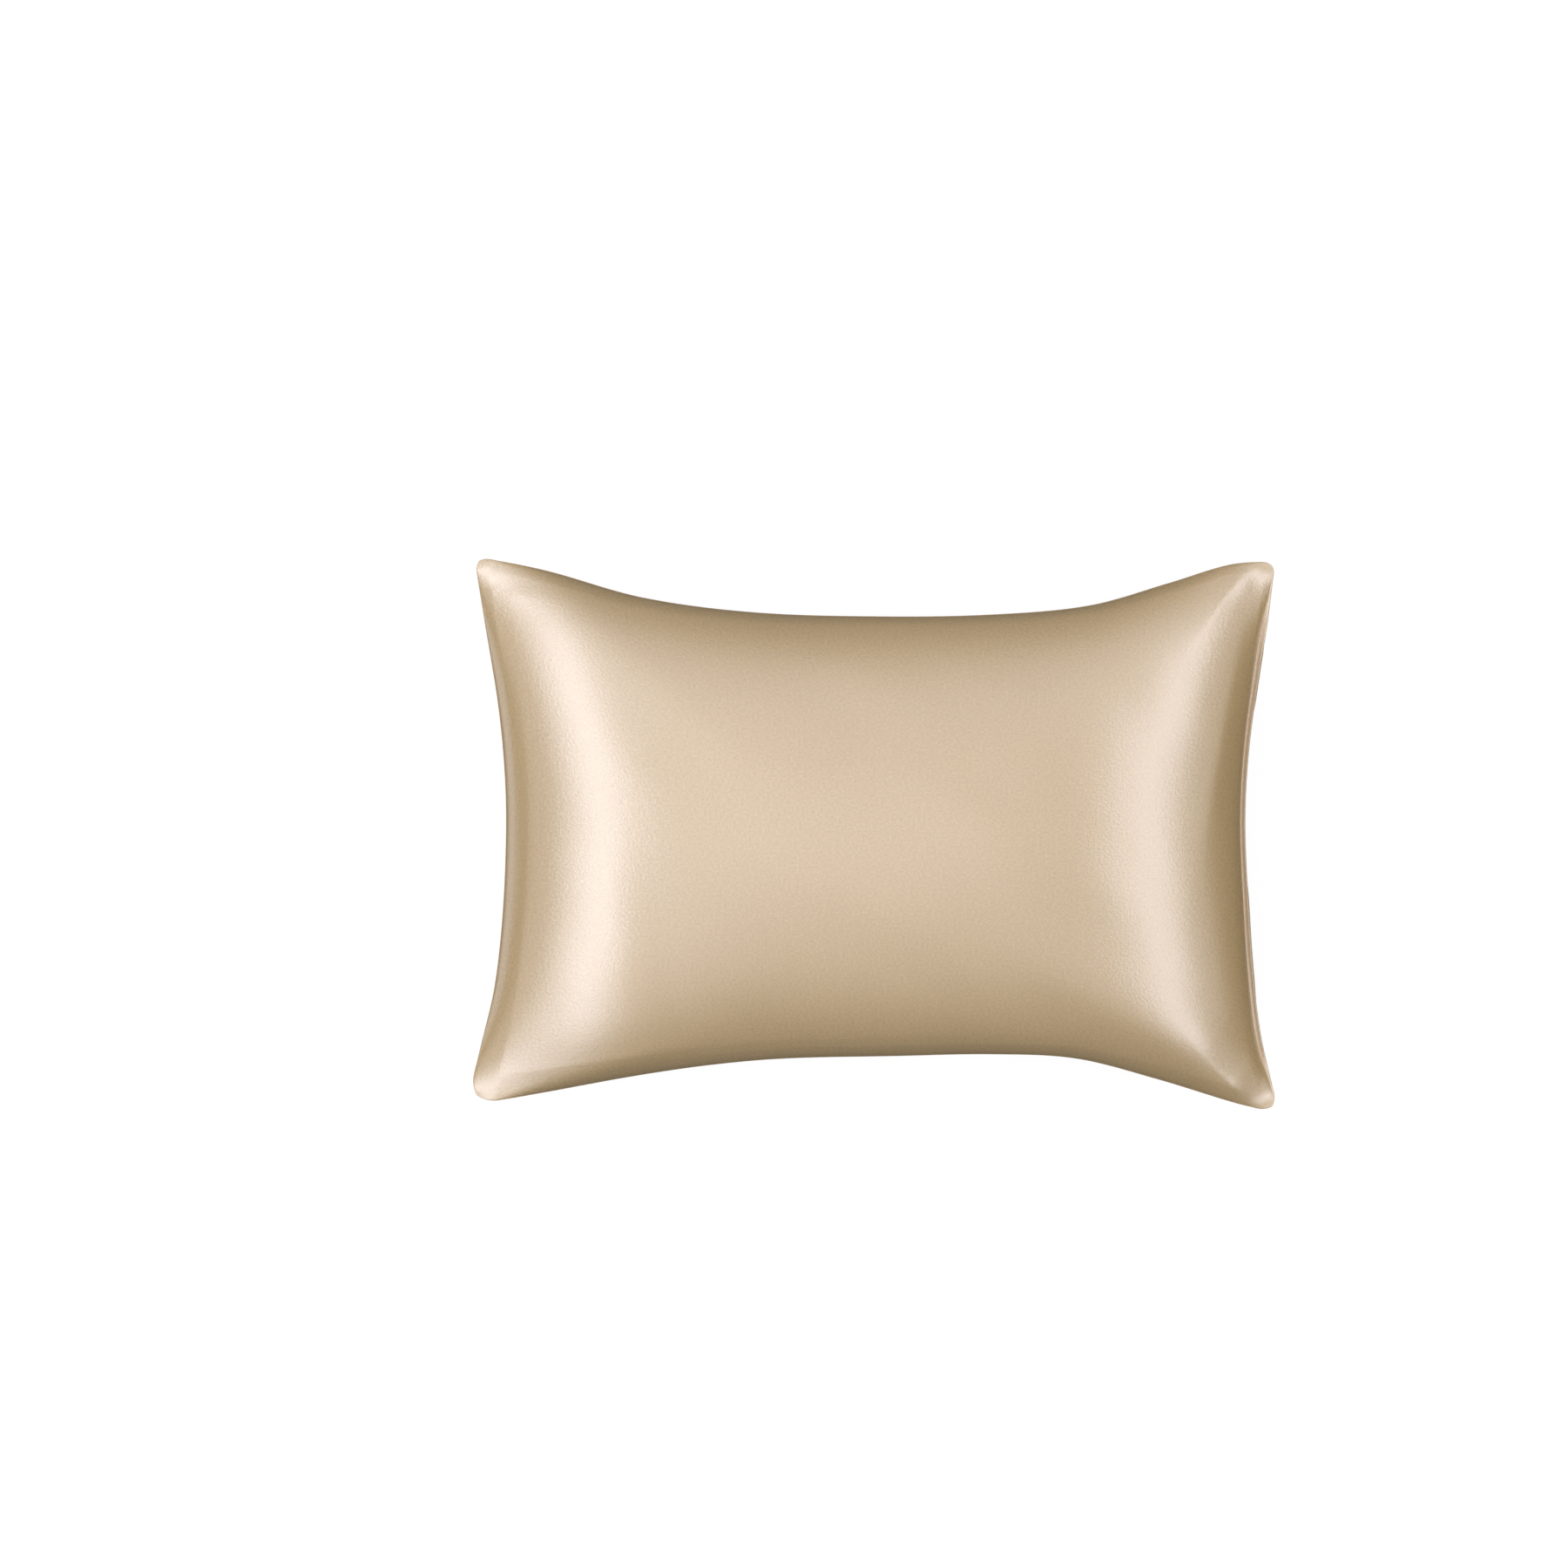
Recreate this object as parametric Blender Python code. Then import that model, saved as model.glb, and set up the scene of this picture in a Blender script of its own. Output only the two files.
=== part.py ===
"""A satin envelope pillowcase, filled and lying on its back.

The front and back panels are sewn together on three sides. The fourth side, at +X, is the open end: there the
front panel turns in over a flap, and the hem of the back panel lies under it. Sizes are in millimetres and are
turned into metres where the meshes are made. The front faces +Z, and the underside rests on z = 0.
"""

import math

import bmesh
import bpy
from mathutils import Vector

METRE = 0.001

# Where the sewn edges would meet if the corners weren't turned round, and the radius each one is turned to.
# Columns: name, x, y, radius.
CORNER_TIPS = (
    ("bottom_left", -376.5, -251.8, 32.0),
    ("bottom_right", 374.3, -259.2, 21.0),
    ("top_left", -369.5, 255.8, 15.0),
    ("top_right", 371.2, 251.0, 12.0),
)

# How far the filling draws each edge in from the straight line between its two corner tips.
# Columns: share of the way along the edge, distance drawn in. Top and bottom run left to right, the ends run upwards.
TOP_DRAWN_IN = (
    (0.00, 0.0), (0.09, 13.0), (0.21, 37.0), (0.35, 50.0), (0.51, 53.0),
    (0.65, 50.5), (0.77, 41.5), (0.87, 20.0), (0.945, 3.0), (1.00, 0.0),
)
BOTTOM_DRAWN_IN = (
    (0.00, 0.0), (0.09, 12.0), (0.23, 31.5), (0.37, 44.5), (0.53, 49.0),
    (0.65, 51.5), (0.75, 48.5), (0.85, 30.5), (0.95, 8.5), (1.00, 0.0),
)
LEFT_DRAWN_IN = (
    (0.00, 0.0), (0.11, 12.5), (0.21, 23.5), (0.32, 29.5), (0.45, 32.4),
    (0.58, 31.5), (0.72, 24.5), (0.875, 11.0), (1.00, 0.0),
)
RIGHT_DRAWN_IN = (
    (0.00, 0.0), (0.05, 6.0), (0.14, 16.5), (0.25, 23.0), (0.38, 27.0),
    (0.53, 29.5), (0.66, 25.5), (0.80, 15.5), (0.90, 7.0), (1.00, 0.0),
)

# The filled shape. The seams stand this far above the floor, a little more at the corners, and both panels swell
# away from them. The filling hardly reaches the corner tips, so within this reach of one the swell starts slowly.
SEAM_HEIGHT = 86.0
CORNER_LIFT = 8.0
TIP_REACH = 80.0
TIP_SOFTNESS = 0.4
FRONT_CROWN = 108.0
BACK_CROWN = 100.0
FLOOR_BLEND = 7.0
SEAM_THICKNESS = 2.4
LENGTHWAYS_FULLNESS = 3.1
CROSSWAYS_FULLNESS = 2.15
EDGE_STEEPNESS = 0.58

# The open end: the front panel's turned-in lip, the slit under it and the hem of the back panel.
LIP_WIDTH = 6.5
LIP_THICKNESS = 2.2
LIP_FLARE = 2.0
SLIT_GAP = 3.6
SLIT_DEPTH = 30.0
SLIT_ENDS_AT = 0.93
SLIT_TAPER = 0.22
END_BLEND = 0.82

# The flap lies in the slit, just under the lip.
FLAP_THICKNESS = 1.2
FLAP_CLEARANCE = 0.35
FLAP_SETBACK = 0.8
FLAP_DEPTH = 27.0
FLAP_ENDS_AT = 0.70

# Mesh rows: along the length, across the width, and over the lip.
LENGTH_STEPS = 46
WIDTH_STEPS = 34
LIP_STEPS = 2
FLAP_STEPS = 4

SATIN_COLOUR = (0.66, 0.55, 0.41, 1.0)


def smooth_step(share):
    """0 below 0, 1 above 1, and an even S between."""
    share = min(max(share, 0.0), 1.0)
    return share * share * (3.0 - 2.0 * share)


def curve_at(rows, share):
    """The smooth curve through a table's rows, read at a share of the way along."""
    last = len(rows) - 1
    i = max(k for k in range(last) if rows[k][0] <= share)
    (x0, y0), (x1, y1) = rows[i], rows[i + 1]

    def slope(k):
        before, after = rows[max(k - 1, 0)], rows[min(k + 1, last)]
        return (after[1] - before[1]) / (after[0] - before[0])

    span = x1 - x0
    f = (share - x0) / span
    rise = (y1 - y0) * smooth_step(f)
    return y0 + rise + span * (slope(i) * f * (1 - f) ** 2 - slope(i + 1) * f * f * (1 - f))


class Edge:
    """One sewn edge, from corner to corner, drawn in by its table and turned round at both tips."""

    def __init__(self, start, end, rows, inward_sign):
        tips = {name: (Vector((x, y)), radius) for name, x, y, radius in CORNER_TIPS}
        self.start, self.start_radius = tips[start]
        self.end, self.end_radius = tips[end]
        self.rows = rows
        chord = self.end - self.start
        self.length = chord.length
        self.along = chord.normalized()
        self.inward = Vector((-self.along.y, self.along.x)) * inward_sign

    def at(self, share):
        distance = share * self.length
        point = self.start + self.along * distance + self.inward * curve_at(self.rows, share)
        for from_tip, radius, along in (
            (distance, self.start_radius, self.along),
            (self.length - distance, self.end_radius, -self.along),
        ):
            if from_tip < radius:
                turn = (1 - from_tip / radius) * math.pi / 4
                arc_along = radius * (1 - math.sin(turn))
                point += along * (arc_along - from_tip) + self.inward * radius * (1 - math.cos(turn))
        return point


TOP = Edge("top_left", "top_right", TOP_DRAWN_IN, -1)
BOTTOM = Edge("bottom_left", "bottom_right", BOTTOM_DRAWN_IN, 1)
LEFT = Edge("bottom_left", "top_left", LEFT_DRAWN_IN, -1)
RIGHT = Edge("bottom_right", "top_right", RIGHT_DRAWN_IN, 1)


def outline_middle():
    """The middle of the outline's box, where the part's origin goes."""
    points = [edge.at(k / 400) for edge in (TOP, BOTTOM, LEFT, RIGHT) for k in range(401)]
    xs = [p.x for p in points]
    ys = [p.y for p in points]
    return Vector((min(xs) + max(xs), min(ys) + max(ys))) / 2


MIDDLE = outline_middle()


def plan(u, v):
    """A point of the cloth seen from above: u from the left end to the open end, v from bottom to top."""
    sides = BOTTOM.at(u) * (1 - v) + TOP.at(u) * v
    ends = LEFT.at(v) * (1 - u) + RIGHT.at(v) * u
    low = BOTTOM.at(0.0) * (1 - u) + BOTTOM.at(1.0) * u
    high = TOP.at(0.0) * (1 - u) + TOP.at(1.0) * u
    return sides + ends - low * (1 - v) - high * v - MIDDLE


def openness(v):
    """1 along the open end, falling to 0 where the slit runs out into the corner seams."""
    return smooth_step((SLIT_ENDS_AT - abs(2 * v - 1)) / SLIT_TAPER)


def body_share(v):
    """Where the lip starts, as a share of the case's length."""
    return 1 - LIP_WIDTH * (0.25 + 0.75 * openness(v)) / TOP.length


def seam_height(u, v):
    return SEAM_HEIGHT + CORNER_LIFT * ((2 * u - 1) * (2 * v - 1)) ** 4


def tip_nearness(u, v):
    """1 at the corner tips, falling smoothly to 0 away from them."""
    x = min(u, 1 - u) * TOP.length
    y = min(v, 1 - v) * LEFT.length
    return math.exp(-(x * x + y * y) / TIP_REACH**2)


def swell(u, v):
    """How full the case is: 0 at the seams and at the foot of the lip, 1 in the middle."""
    s = min(abs(2 * u / body_share(v) - 1), 1.0)
    t = abs(2 * v - 1)
    steepness = EDGE_STEEPNESS * (1 + TIP_SOFTNESS * tip_nearness(u, v))
    return ((1 - s**LENGTHWAYS_FULLNESS) * (1 - t**CROSSWAYS_FULLNESS)) ** steepness


def end_share(u, v):
    """0 over most of the case, rising to 1 at the foot of the lip."""
    return smooth_step((u / body_share(v) - END_BLEND) / (1 - END_BLEND))


def flare(u, v):
    """How far the lip's outer edge turns up."""
    out = max(0.0, (u - body_share(v)) / (1 - body_share(v)))
    return LIP_FLARE * openness(v) * out * out


def half_edge(u, v):
    """Half the thickness of the closed seams, changing to the lip's or hem's outer face at the open end."""
    closed = SEAM_THICKNESS / 2
    opened = SLIT_GAP / 2 + LIP_THICKNESS
    return closed + (opened - closed) * openness(v) * end_share(u, v)


def front_height(u, v):
    return seam_height(u, v) + half_edge(u, v) + FRONT_CROWN * swell(u, v) + flare(u, v)


def back_height(u, v):
    """The underside: it swells down from the seams and settles flat on the floor."""
    height = seam_height(u, v) - half_edge(u, v) - BACK_CROWN * swell(u, v)
    if height >= FLOOR_BLEND:
        return height
    if height <= -FLOOR_BLEND:
        return 0.0
    return (height + FLOOR_BLEND) ** 2 / (4 * FLOOR_BLEND)


def slit_height(u, v, side):
    """The slit's upper face (side +1) or lower face (side -1)."""
    closed = SEAM_THICKNESS / 6
    half_gap = closed + (SLIT_GAP / 2 - closed) * openness(v)
    turned_up = flare(u, v) if side > 0 else 0.0
    return seam_height(u, v) + side * half_gap + turned_up


def crowded(step, steps, crowding=0.8):
    """Steps from 0 to 1 that crowd towards both ends, where the cloth turns most."""
    even = step / steps
    return even + crowding * (0.5 - 0.5 * math.cos(math.pi * even) - even)


def new_object(name, build):
    """An object whose mesh is filled in by build, shaded smooth, in the satin material."""
    bm = bmesh.new()
    build(bm)
    bmesh.ops.recalc_face_normals(bm, faces=bm.faces)
    mesh = bpy.data.meshes.new(name)
    bm.to_mesh(mesh)
    bm.free()
    mesh.shade_smooth()
    mesh.set_sharp_from_angle(angle=math.radians(50))
    mesh.materials.append(satin())
    part = bpy.data.objects.new(name, mesh)
    bpy.context.collection.objects.link(part)
    return part


def satin():
    material = bpy.data.materials.get("champagne_satin")
    if material is None:
        material = bpy.data.materials.new("champagne_satin")
        material.use_nodes = True
        shader = material.node_tree.nodes["Principled BSDF"]
        shader.inputs["Base Color"].default_value = SATIN_COLOUR
        shader.inputs["Roughness"].default_value = 0.38
        shader.inputs["Metallic"].default_value = 0.0
    return material


def add_point(bm, u, v, height):
    at = plan(u, v)
    return bm.verts.new(Vector((at.x, at.y, height)) * METRE)


def add_face(bm, *corners):
    """A face through the corners, of which neighbours may be one and the same point."""
    apart = [corner for k, corner in enumerate(corners) if corner != corners[k - 1]]
    if len(apart) > 2:
        bm.faces.new(apart)


def strip(bm, first, second):
    """Faces between two rows of points, which may share points."""
    for k in range(len(first) - 1):
        add_face(bm, first[k], first[k + 1], second[k + 1], second[k])


def build_case(bm):
    """Both panels over their filling, sewn on three sides, with the slit cut into the open end."""
    shares = [crowded(i, LENGTH_STEPS) for i in range(LENGTH_STEPS + 1)]
    rows = [crowded(j, WIDTH_STEPS) for j in range(WIDTH_STEPS + 1)]
    front, back = [], []
    for v in rows:
        lip_start = body_share(v)
        stops = [share * lip_start for share in shares]
        stops += [lip_start + (1 - lip_start) * k / LIP_STEPS for k in range(1, LIP_STEPS + 1)]
        front.append([add_point(bm, u, v, front_height(u, v)) for u in stops])
        back.append([add_point(bm, u, v, back_height(u, v)) for u in stops])
    for j in range(WIDTH_STEPS):
        strip(bm, front[j], front[j + 1])
        strip(bm, back[j + 1], back[j])
    strip(bm, back[0], front[0])
    strip(bm, front[-1], back[-1])
    strip(bm, [row[0] for row in front], [row[0] for row in back])
    cut_slit(bm, rows, [row[-1] for row in front], [row[-1] for row in back])


def cut_slit(bm, rows, lip_edge, hem_edge):
    """The open end's wall: down the lip, in and out of the slit where there is one, and down the hem."""
    slit_start = 1 - SLIT_DEPTH / TOP.length
    upper, lower, pockets = [lip_edge[0]], [hem_edge[0]], [None]
    for v in rows[1:-1]:
        upper.append(add_point(bm, 1.0, v, slit_height(1.0, v, 1)))
        lower.append(add_point(bm, 1.0, v, slit_height(1.0, v, -1)))
        stops = ((body_share(v), 1), (slit_start, 1), (slit_start, -1))
        is_open = openness(v) > 0
        pockets.append([add_point(bm, u, v, slit_height(u, v, side)) for u, side in stops] if is_open else None)
    upper.append(lip_edge[-1])
    lower.append(hem_edge[-1])
    pockets.append(None)
    strip(bm, lip_edge, upper)
    strip(bm, lower, hem_edge)
    for j in range(len(rows) - 1):
        near = [upper[j], *(pockets[j] or ()), lower[j]]
        far = [upper[j + 1], *(pockets[j + 1] or ()), lower[j + 1]]
        if len(near) == len(far):
            strip(bm, far, near)
        elif len(near) < len(far):
            close_pocket(bm, near, far)
        else:
            close_pocket(bm, far, near)


def close_pocket(bm, shallow, deep):
    """The end of the slit: a fan from the closed side's two points to the pocket's row."""
    top, bottom = shallow
    add_face(bm, top, deep[0], deep[1])
    add_face(bm, top, deep[1], deep[2])
    add_face(bm, top, deep[2], deep[3], bottom)
    add_face(bm, bottom, deep[3], deep[4])


def build_flap(bm):
    """The turned-in flap: a thin strip that follows the lip's underside into the slit."""
    outer = 1 - FLAP_SETBACK / TOP.length
    inner = outer - FLAP_DEPTH / TOP.length
    upper, lower = [], []
    for j in range(WIDTH_STEPS + 1):
        v = 0.5 + FLAP_ENDS_AT * (j / WIDTH_STEPS - 0.5)
        stops = [outer, body_share(v), *(
            body_share(v) + (inner - body_share(v)) * k / FLAP_STEPS for k in range(1, FLAP_STEPS + 1)
        )]
        top = [slit_height(u, v, 1) - FLAP_CLEARANCE for u in stops]
        upper.append([add_point(bm, u, v, z) for u, z in zip(stops, top)])
        lower.append([add_point(bm, u, v, z - FLAP_THICKNESS) for u, z in zip(stops, top)])
    for j in range(WIDTH_STEPS):
        strip(bm, upper[j], upper[j + 1])
        strip(bm, lower[j + 1], lower[j])
    strip(bm, lower[0], upper[0])
    strip(bm, upper[-1], lower[-1])
    strip(bm, [row[0] for row in upper], [row[0] for row in lower])
    strip(bm, [row[-1] for row in lower], [row[-1] for row in upper])


def main():
    for old in list(bpy.data.objects):
        bpy.data.objects.remove(old, do_unlink=True)
    new_object("filled_case", build_case)
    new_object("envelope_flap", build_flap)


main()
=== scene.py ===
"""A champagne satin envelope pillowcase, filled and lying on its back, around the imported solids."""

import math

import bpy
import numpy as np
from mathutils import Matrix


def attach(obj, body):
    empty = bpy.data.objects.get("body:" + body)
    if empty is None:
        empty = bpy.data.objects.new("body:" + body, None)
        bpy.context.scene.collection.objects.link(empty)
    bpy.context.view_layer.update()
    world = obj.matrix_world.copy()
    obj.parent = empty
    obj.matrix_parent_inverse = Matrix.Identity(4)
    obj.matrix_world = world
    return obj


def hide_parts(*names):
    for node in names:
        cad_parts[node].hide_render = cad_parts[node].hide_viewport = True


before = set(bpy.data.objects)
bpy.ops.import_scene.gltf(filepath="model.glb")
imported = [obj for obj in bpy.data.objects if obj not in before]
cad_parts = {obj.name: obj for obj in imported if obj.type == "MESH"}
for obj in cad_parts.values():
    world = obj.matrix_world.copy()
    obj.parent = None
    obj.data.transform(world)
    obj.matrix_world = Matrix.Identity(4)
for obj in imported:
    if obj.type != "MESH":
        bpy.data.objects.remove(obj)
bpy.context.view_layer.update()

# --------------------------------------------------------------------------------------------------
# The filled case. Two panels of satin are sewn together on three sides and turned, and drawn tight by
# what fills them. At the open end the front panel is folded under as a lip, over the back panel's hem.
# --------------------------------------------------------------------------------------------------

# Corner tips of the sewn outline and the radius each is turned to, in millimetres.
CORNER_TIPS = {
    "bottom_left": ((-376.5, -251.8), 32.0),
    "bottom_right": ((374.3, -259.2), 21.0),
    "top_left": ((-369.5, 255.8), 15.0),
    "top_right": ((371.2, 251.0), 12.0),
}

# How far the filling draws each edge in. Rows: share of the way along the edge, millimetres drawn in.
DRAWN_IN = {
    "top": (
        (0.00, 0.0), (0.09, 13.0), (0.21, 37.0), (0.35, 50.0), (0.51, 53.0),
        (0.65, 50.5), (0.77, 41.5), (0.87, 20.0), (0.945, 3.0), (1.00, 0.0),
    ),
    "bottom": (
        (0.00, 0.0), (0.09, 12.0), (0.23, 31.5), (0.37, 44.5), (0.53, 49.0),
        (0.65, 51.5), (0.75, 48.5), (0.85, 30.5), (0.95, 8.5), (1.00, 0.0),
    ),
    "left": (
        (0.00, 0.0), (0.11, 12.5), (0.21, 23.5), (0.32, 29.5), (0.45, 32.4),
        (0.58, 31.5), (0.72, 24.5), (0.875, 11.0), (1.00, 0.0),
    ),
    "right": (
        (0.00, 0.0), (0.05, 6.0), (0.14, 16.5), (0.25, 23.0), (0.38, 27.0),
        (0.53, 29.5), (0.66, 25.5), (0.80, 15.5), (0.90, 7.0), (1.00, 0.0),
    ),
}

# The filled shape, in millimetres above the floor.
SEAM_HEIGHT, CORNER_LIFT, TIP_REACH, TIP_SOFTNESS = 86.0, 8.0, 80.0, 0.4
FRONT_CROWN, BACK_CROWN, FLOOR_BLEND = 108.0, 100.0, 7.0
LENGTHWAYS_FULLNESS, CROSSWAYS_FULLNESS, EDGE_STEEPNESS = 3.1, 2.15, 0.58
SEAM_THICKNESS = 2.4
EDGE_ROUND = 1.0  # how far a turned edge stands out past its seam

# The open end, in millimetres. The hem shows past the lip in two stretches: middle and half width as
# shares of the end's length, and how far it shows.
LIP_WIDTH, LIP_THICKNESS, LIP_FLARE = 6.5, 2.2, 2.0
LIP_KEPT = 0.25  # the lip's share of its width where the slit is closed
SLIT_GAP, SLIT_DEPTH, SLIT_ENDS_AT, SLIT_TAPER, END_BLEND = 3.6, 30.0, 0.93, 0.22, 0.82
CLOSED_GAP, CLOSED_POCKET = 0.12, 0.5  # half height and depth of what is left of the slit in closed seams
HEM_SHOWS = ((0.79, 0.10, 1.5), (0.31, 0.17, 1.7))

# The back panel's folded hem: its width, how far it stands proud and over what distances it steps down on
# its inner and outer side, and how deep and wide its stitches pull the cloth.
HEM_WIDTH, HEM_RISE, HEM_STEP, HEM_EDGE, HEM_PAST_STITCHES = 20.0, 0.45, 3.0, 6.0, 4.0
STITCH_TROUGH, TROUGH_WIDTH = 0.3, 2.2

# A turned edge's section: how far out, as a share of its roundness, and how far down its wall.
EDGE_SECTION = ((0.72, 0.15), (1.0, 0.5), (0.72, 0.85), (0.0, 1.0))
CLOSED_ROUNDNESS = 0.6

# The flat cloth that each panel is cut to, in metres, for the weave's own coordinates.
PANEL_LENGTH, PANEL_WIDTH = 0.762, 0.508

# Pull ridges that run from near the corners into the crown. Columns: corner, start off the tip in x and y,
# heading in degrees from +X, where the ridge is highest and how far it reaches along that line, its height
# and half width there, in millimetres.
PULL_RIDGES = (
    ("top_left", 40.0, -19.0, 267.0, 22.6, 330.0, 2.2, 33.8),
    ("top_left", 27.4, 18.8, 316.7, 15.0, 303.5, 4.7, 18.9),
    ("bottom_left", -22.9, -16.2, 18.3, 53.9, 289.0, 7.5, 9.0),
    ("bottom_left", 60.0, 40.3, 7.9, 94.2, 146.4, 4.8, 60.0),
    ("top_right", -14.3, 0.0, 227.2, 32.9, 134.0, 3.4, 15.0),
    ("top_right", -27.0, -36.4, 258.7, 134.6, 330.0, 1.6, 10.6),
    ("bottom_right", 1.7, 31.6, 152.4, 93.3, 330.0, 6.5, 33.0),
    ("bottom_right", -13.8, 7.9, 147.8, 38.2, 330.0, 8.0, 19.1),
    ("top_right", -26.0, -2.4, 235.0, 50.0, 110.0, 0.7, 4.0),
    ("bottom_right", -16.0, -2.0, 135.0, 60.0, 120.0, 0.8, 4.5),
)
RIDGE_TIP_WIDTH = 0.45  # a ridge's width at its start, as a share of its width at the crest

# At the open end the ridges are whole up to the first distance from the corners and gone from the second,
# over the blend's width. Round the seams the back panel follows them over the last distance.
RIDGES_HELD, RIDGES_GONE, RIDGE_END_BLEND, BACK_FOLLOWS = 30.0, 70.0, 14.0, 30.0

# Slow unevenness of the filling. Columns: waves along the length, waves across, phase, height in millimetres.
FILLING_WAVES = ((5.0, 2.0, 0.7, 0.22), (3.0, 4.0, 2.1, 0.20), (8.0, 3.0, 4.4, 0.10), (6.0, 6.0, 1.3, 0.08))

# Puckers at the closed seams: height, reach and pitch in millimetres, how far the pitch wanders (share of a
# pitch, over how many millimetres, phase), and the stretch at each corner that has none or fewer.
PUCKER_HEIGHT, PUCKER_REACH, PUCKER_PITCH = 0.16, 9.0, 11.0
PUCKER_WANDER = ((0.6, 37, 0), (0.4, 61, 1))
PUCKERS_START, PUCKERS_GROW = 24.0, 60.0

# Rows of points on each panel, and how strongly they crowd towards its edges.
LENGTH_STEPS, WIDTH_STEPS, LIP_STEPS, CROWDING = 190, 140, 6, 0.88

# The settling of the cloth: a coarser copy of both panels, started slightly slack and blown up by pressure.
# The moves are smoothed, shared out less at the corners and held to a limit in millimetres.
SETTLE_LENGTH_STEPS, SETTLE_WIDTH_STEPS, SETTLE_CROWDING, SETTLE_FRAMES = 100, 68, 0.5, 20
SETTLE_START, SETTLE_PRESSURE, SETTLE_LIMIT = 0.97, 6.0, 8.0
SETTLE_SMOOTHING, SETTLE_SHARE, SETTLE_CORNERS = 12, 0.5, 0.35
LYING_BELOW = 0.5  # millimetres off the floor under which the back panel is held by it
CLOTH_QUALITY, CLOTH_MASS = 6, 0.12
CLOTH_TENSION, CLOTH_COMPRESSION, CLOTH_SHEAR, CLOTH_BENDING = 12, 8, 4, 0.3


def smooth_step(share):
    """0 up to share 0 and 1 from share 1, with a smooth rise between."""
    share = np.clip(share, 0.0, 1.0)
    return share * share * (3.0 - 2.0 * share)


def curve_at(rows, share):
    """The smooth curve through a table's rows, read at many shares of the way along."""
    xs, ys = np.array(rows).T
    last = len(xs) - 1
    slopes = [
        (ys[min(k + 1, last)] - ys[max(k - 1, 0)]) / (xs[min(k + 1, last)] - xs[max(k - 1, 0)])
        for k in range(last + 1)
    ]
    slopes = np.array(slopes)
    i = np.clip(np.searchsorted(xs, share, side="right") - 1, 0, last - 1)
    span = xs[i + 1] - xs[i]
    f = (share - xs[i]) / span
    rise = (ys[i + 1] - ys[i]) * smooth_step(f)
    return ys[i] + rise + span * (slopes[i] * f * (1 - f) ** 2 - slopes[i + 1] * f * f * (1 - f))


def edge_points(start, end, rows, inward_sign, share):
    """One sewn edge at many shares, drawn in by its table and turned round at both tips."""
    start, start_radius = np.array(CORNER_TIPS[start][0]), CORNER_TIPS[start][1]
    end, end_radius = np.array(CORNER_TIPS[end][0]), CORNER_TIPS[end][1]
    share = np.asarray(share, float)
    length = np.linalg.norm(end - start)
    along = (end - start) / length
    inward = np.array((-along[1], along[0])) * inward_sign
    distance = share * length
    point = start + distance[:, None] * along + curve_at(rows, share)[:, None] * inward
    for from_tip, radius, way in ((distance, start_radius, along), (length - distance, end_radius, -along)):
        near = from_tip < radius
        turn = (1 - from_tip[near] / radius) * math.pi / 4
        point[near] += (radius * (1 - np.sin(turn)) - from_tip[near])[:, None] * way
        point[near] += (radius * (1 - np.cos(turn)))[:, None] * inward
    return point


def edges(u, v):
    """The four sewn edges: bottom and top at shares u, left and right at shares v."""
    return (
        edge_points("bottom_left", "bottom_right", DRAWN_IN["bottom"], 1, u),
        edge_points("top_left", "top_right", DRAWN_IN["top"], -1, u),
        edge_points("bottom_left", "top_left", DRAWN_IN["left"], -1, v),
        edge_points("bottom_right", "top_right", DRAWN_IN["right"], 1, v),
    )


def outline_middle():
    """The middle of the sewn outline's box, in the tips' coordinates."""
    steps = np.linspace(0, 1, 401)
    points = np.vstack(edges(steps, steps))
    return (points.min(0) + points.max(0)) / 2


MIDDLE = outline_middle()
EDGE_LENGTH = float(np.linalg.norm(np.subtract(CORNER_TIPS["top_right"][0], CORNER_TIPS["top_left"][0])))
EDGE_WIDTH = PANEL_WIDTH * 1000


def plan(u, v):
    """Points of the cloth seen from above, in millimetres, for grids u and v of one shape."""
    shape = u.shape
    u, v = u.ravel(), v.ravel()
    bottom, top, left, right = edges(u, v)
    ends = np.array((0.0, 1.0))
    low_left, high_left = edge_points("bottom_left", "top_left", DRAWN_IN["left"], -1, ends)
    low_right, high_right = edge_points("bottom_right", "top_right", DRAWN_IN["right"], 1, ends)
    u, v = u[:, None], v[:, None]
    point = bottom * (1 - v) + top * v + left * (1 - u) + right * u
    point -= (low_left * (1 - u) + low_right * u) * (1 - v) + (high_left * (1 - u) + high_right * u) * v
    return (point - MIDDLE).reshape(*shape, 2)


def openness(v):
    """1 along the open end, falling to 0 where the slit runs out into the corner seams."""
    return smooth_step((SLIT_ENDS_AT - np.abs(2 * v - 1)) / SLIT_TAPER)


def body_share(v):
    """Where the lip starts, as a share of the case's length."""
    return 1 - LIP_WIDTH * (LIP_KEPT + (1 - LIP_KEPT) * openness(v)) / EDGE_LENGTH


def seam_height(u, v):
    """The height of the middle of the seams, which the corners lift."""
    return SEAM_HEIGHT + CORNER_LIFT * ((2 * u - 1) * (2 * v - 1)) ** 4


def tip_nearness(u, v):
    """1 at the corner tips, falling smoothly to 0 away from them."""
    x = np.minimum(u, 1 - u) * EDGE_LENGTH
    y = np.minimum(v, 1 - v) * EDGE_WIDTH
    return np.exp(-(x * x + y * y) / TIP_REACH**2)


def swell(u, v):
    """How full the case is: 0 at the seams and the lip's foot, 1 in the middle, slow to rise at the tips."""
    s = np.minimum(np.abs(2 * u / body_share(v) - 1), 1.0)
    t = np.minimum(np.abs(2 * v - 1), 1.0)
    steepness = EDGE_STEEPNESS * (1 + TIP_SOFTNESS * tip_nearness(u, v))
    return ((1 - s**LENGTHWAYS_FULLNESS) * (1 - t**CROSSWAYS_FULLNESS)) ** steepness


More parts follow.
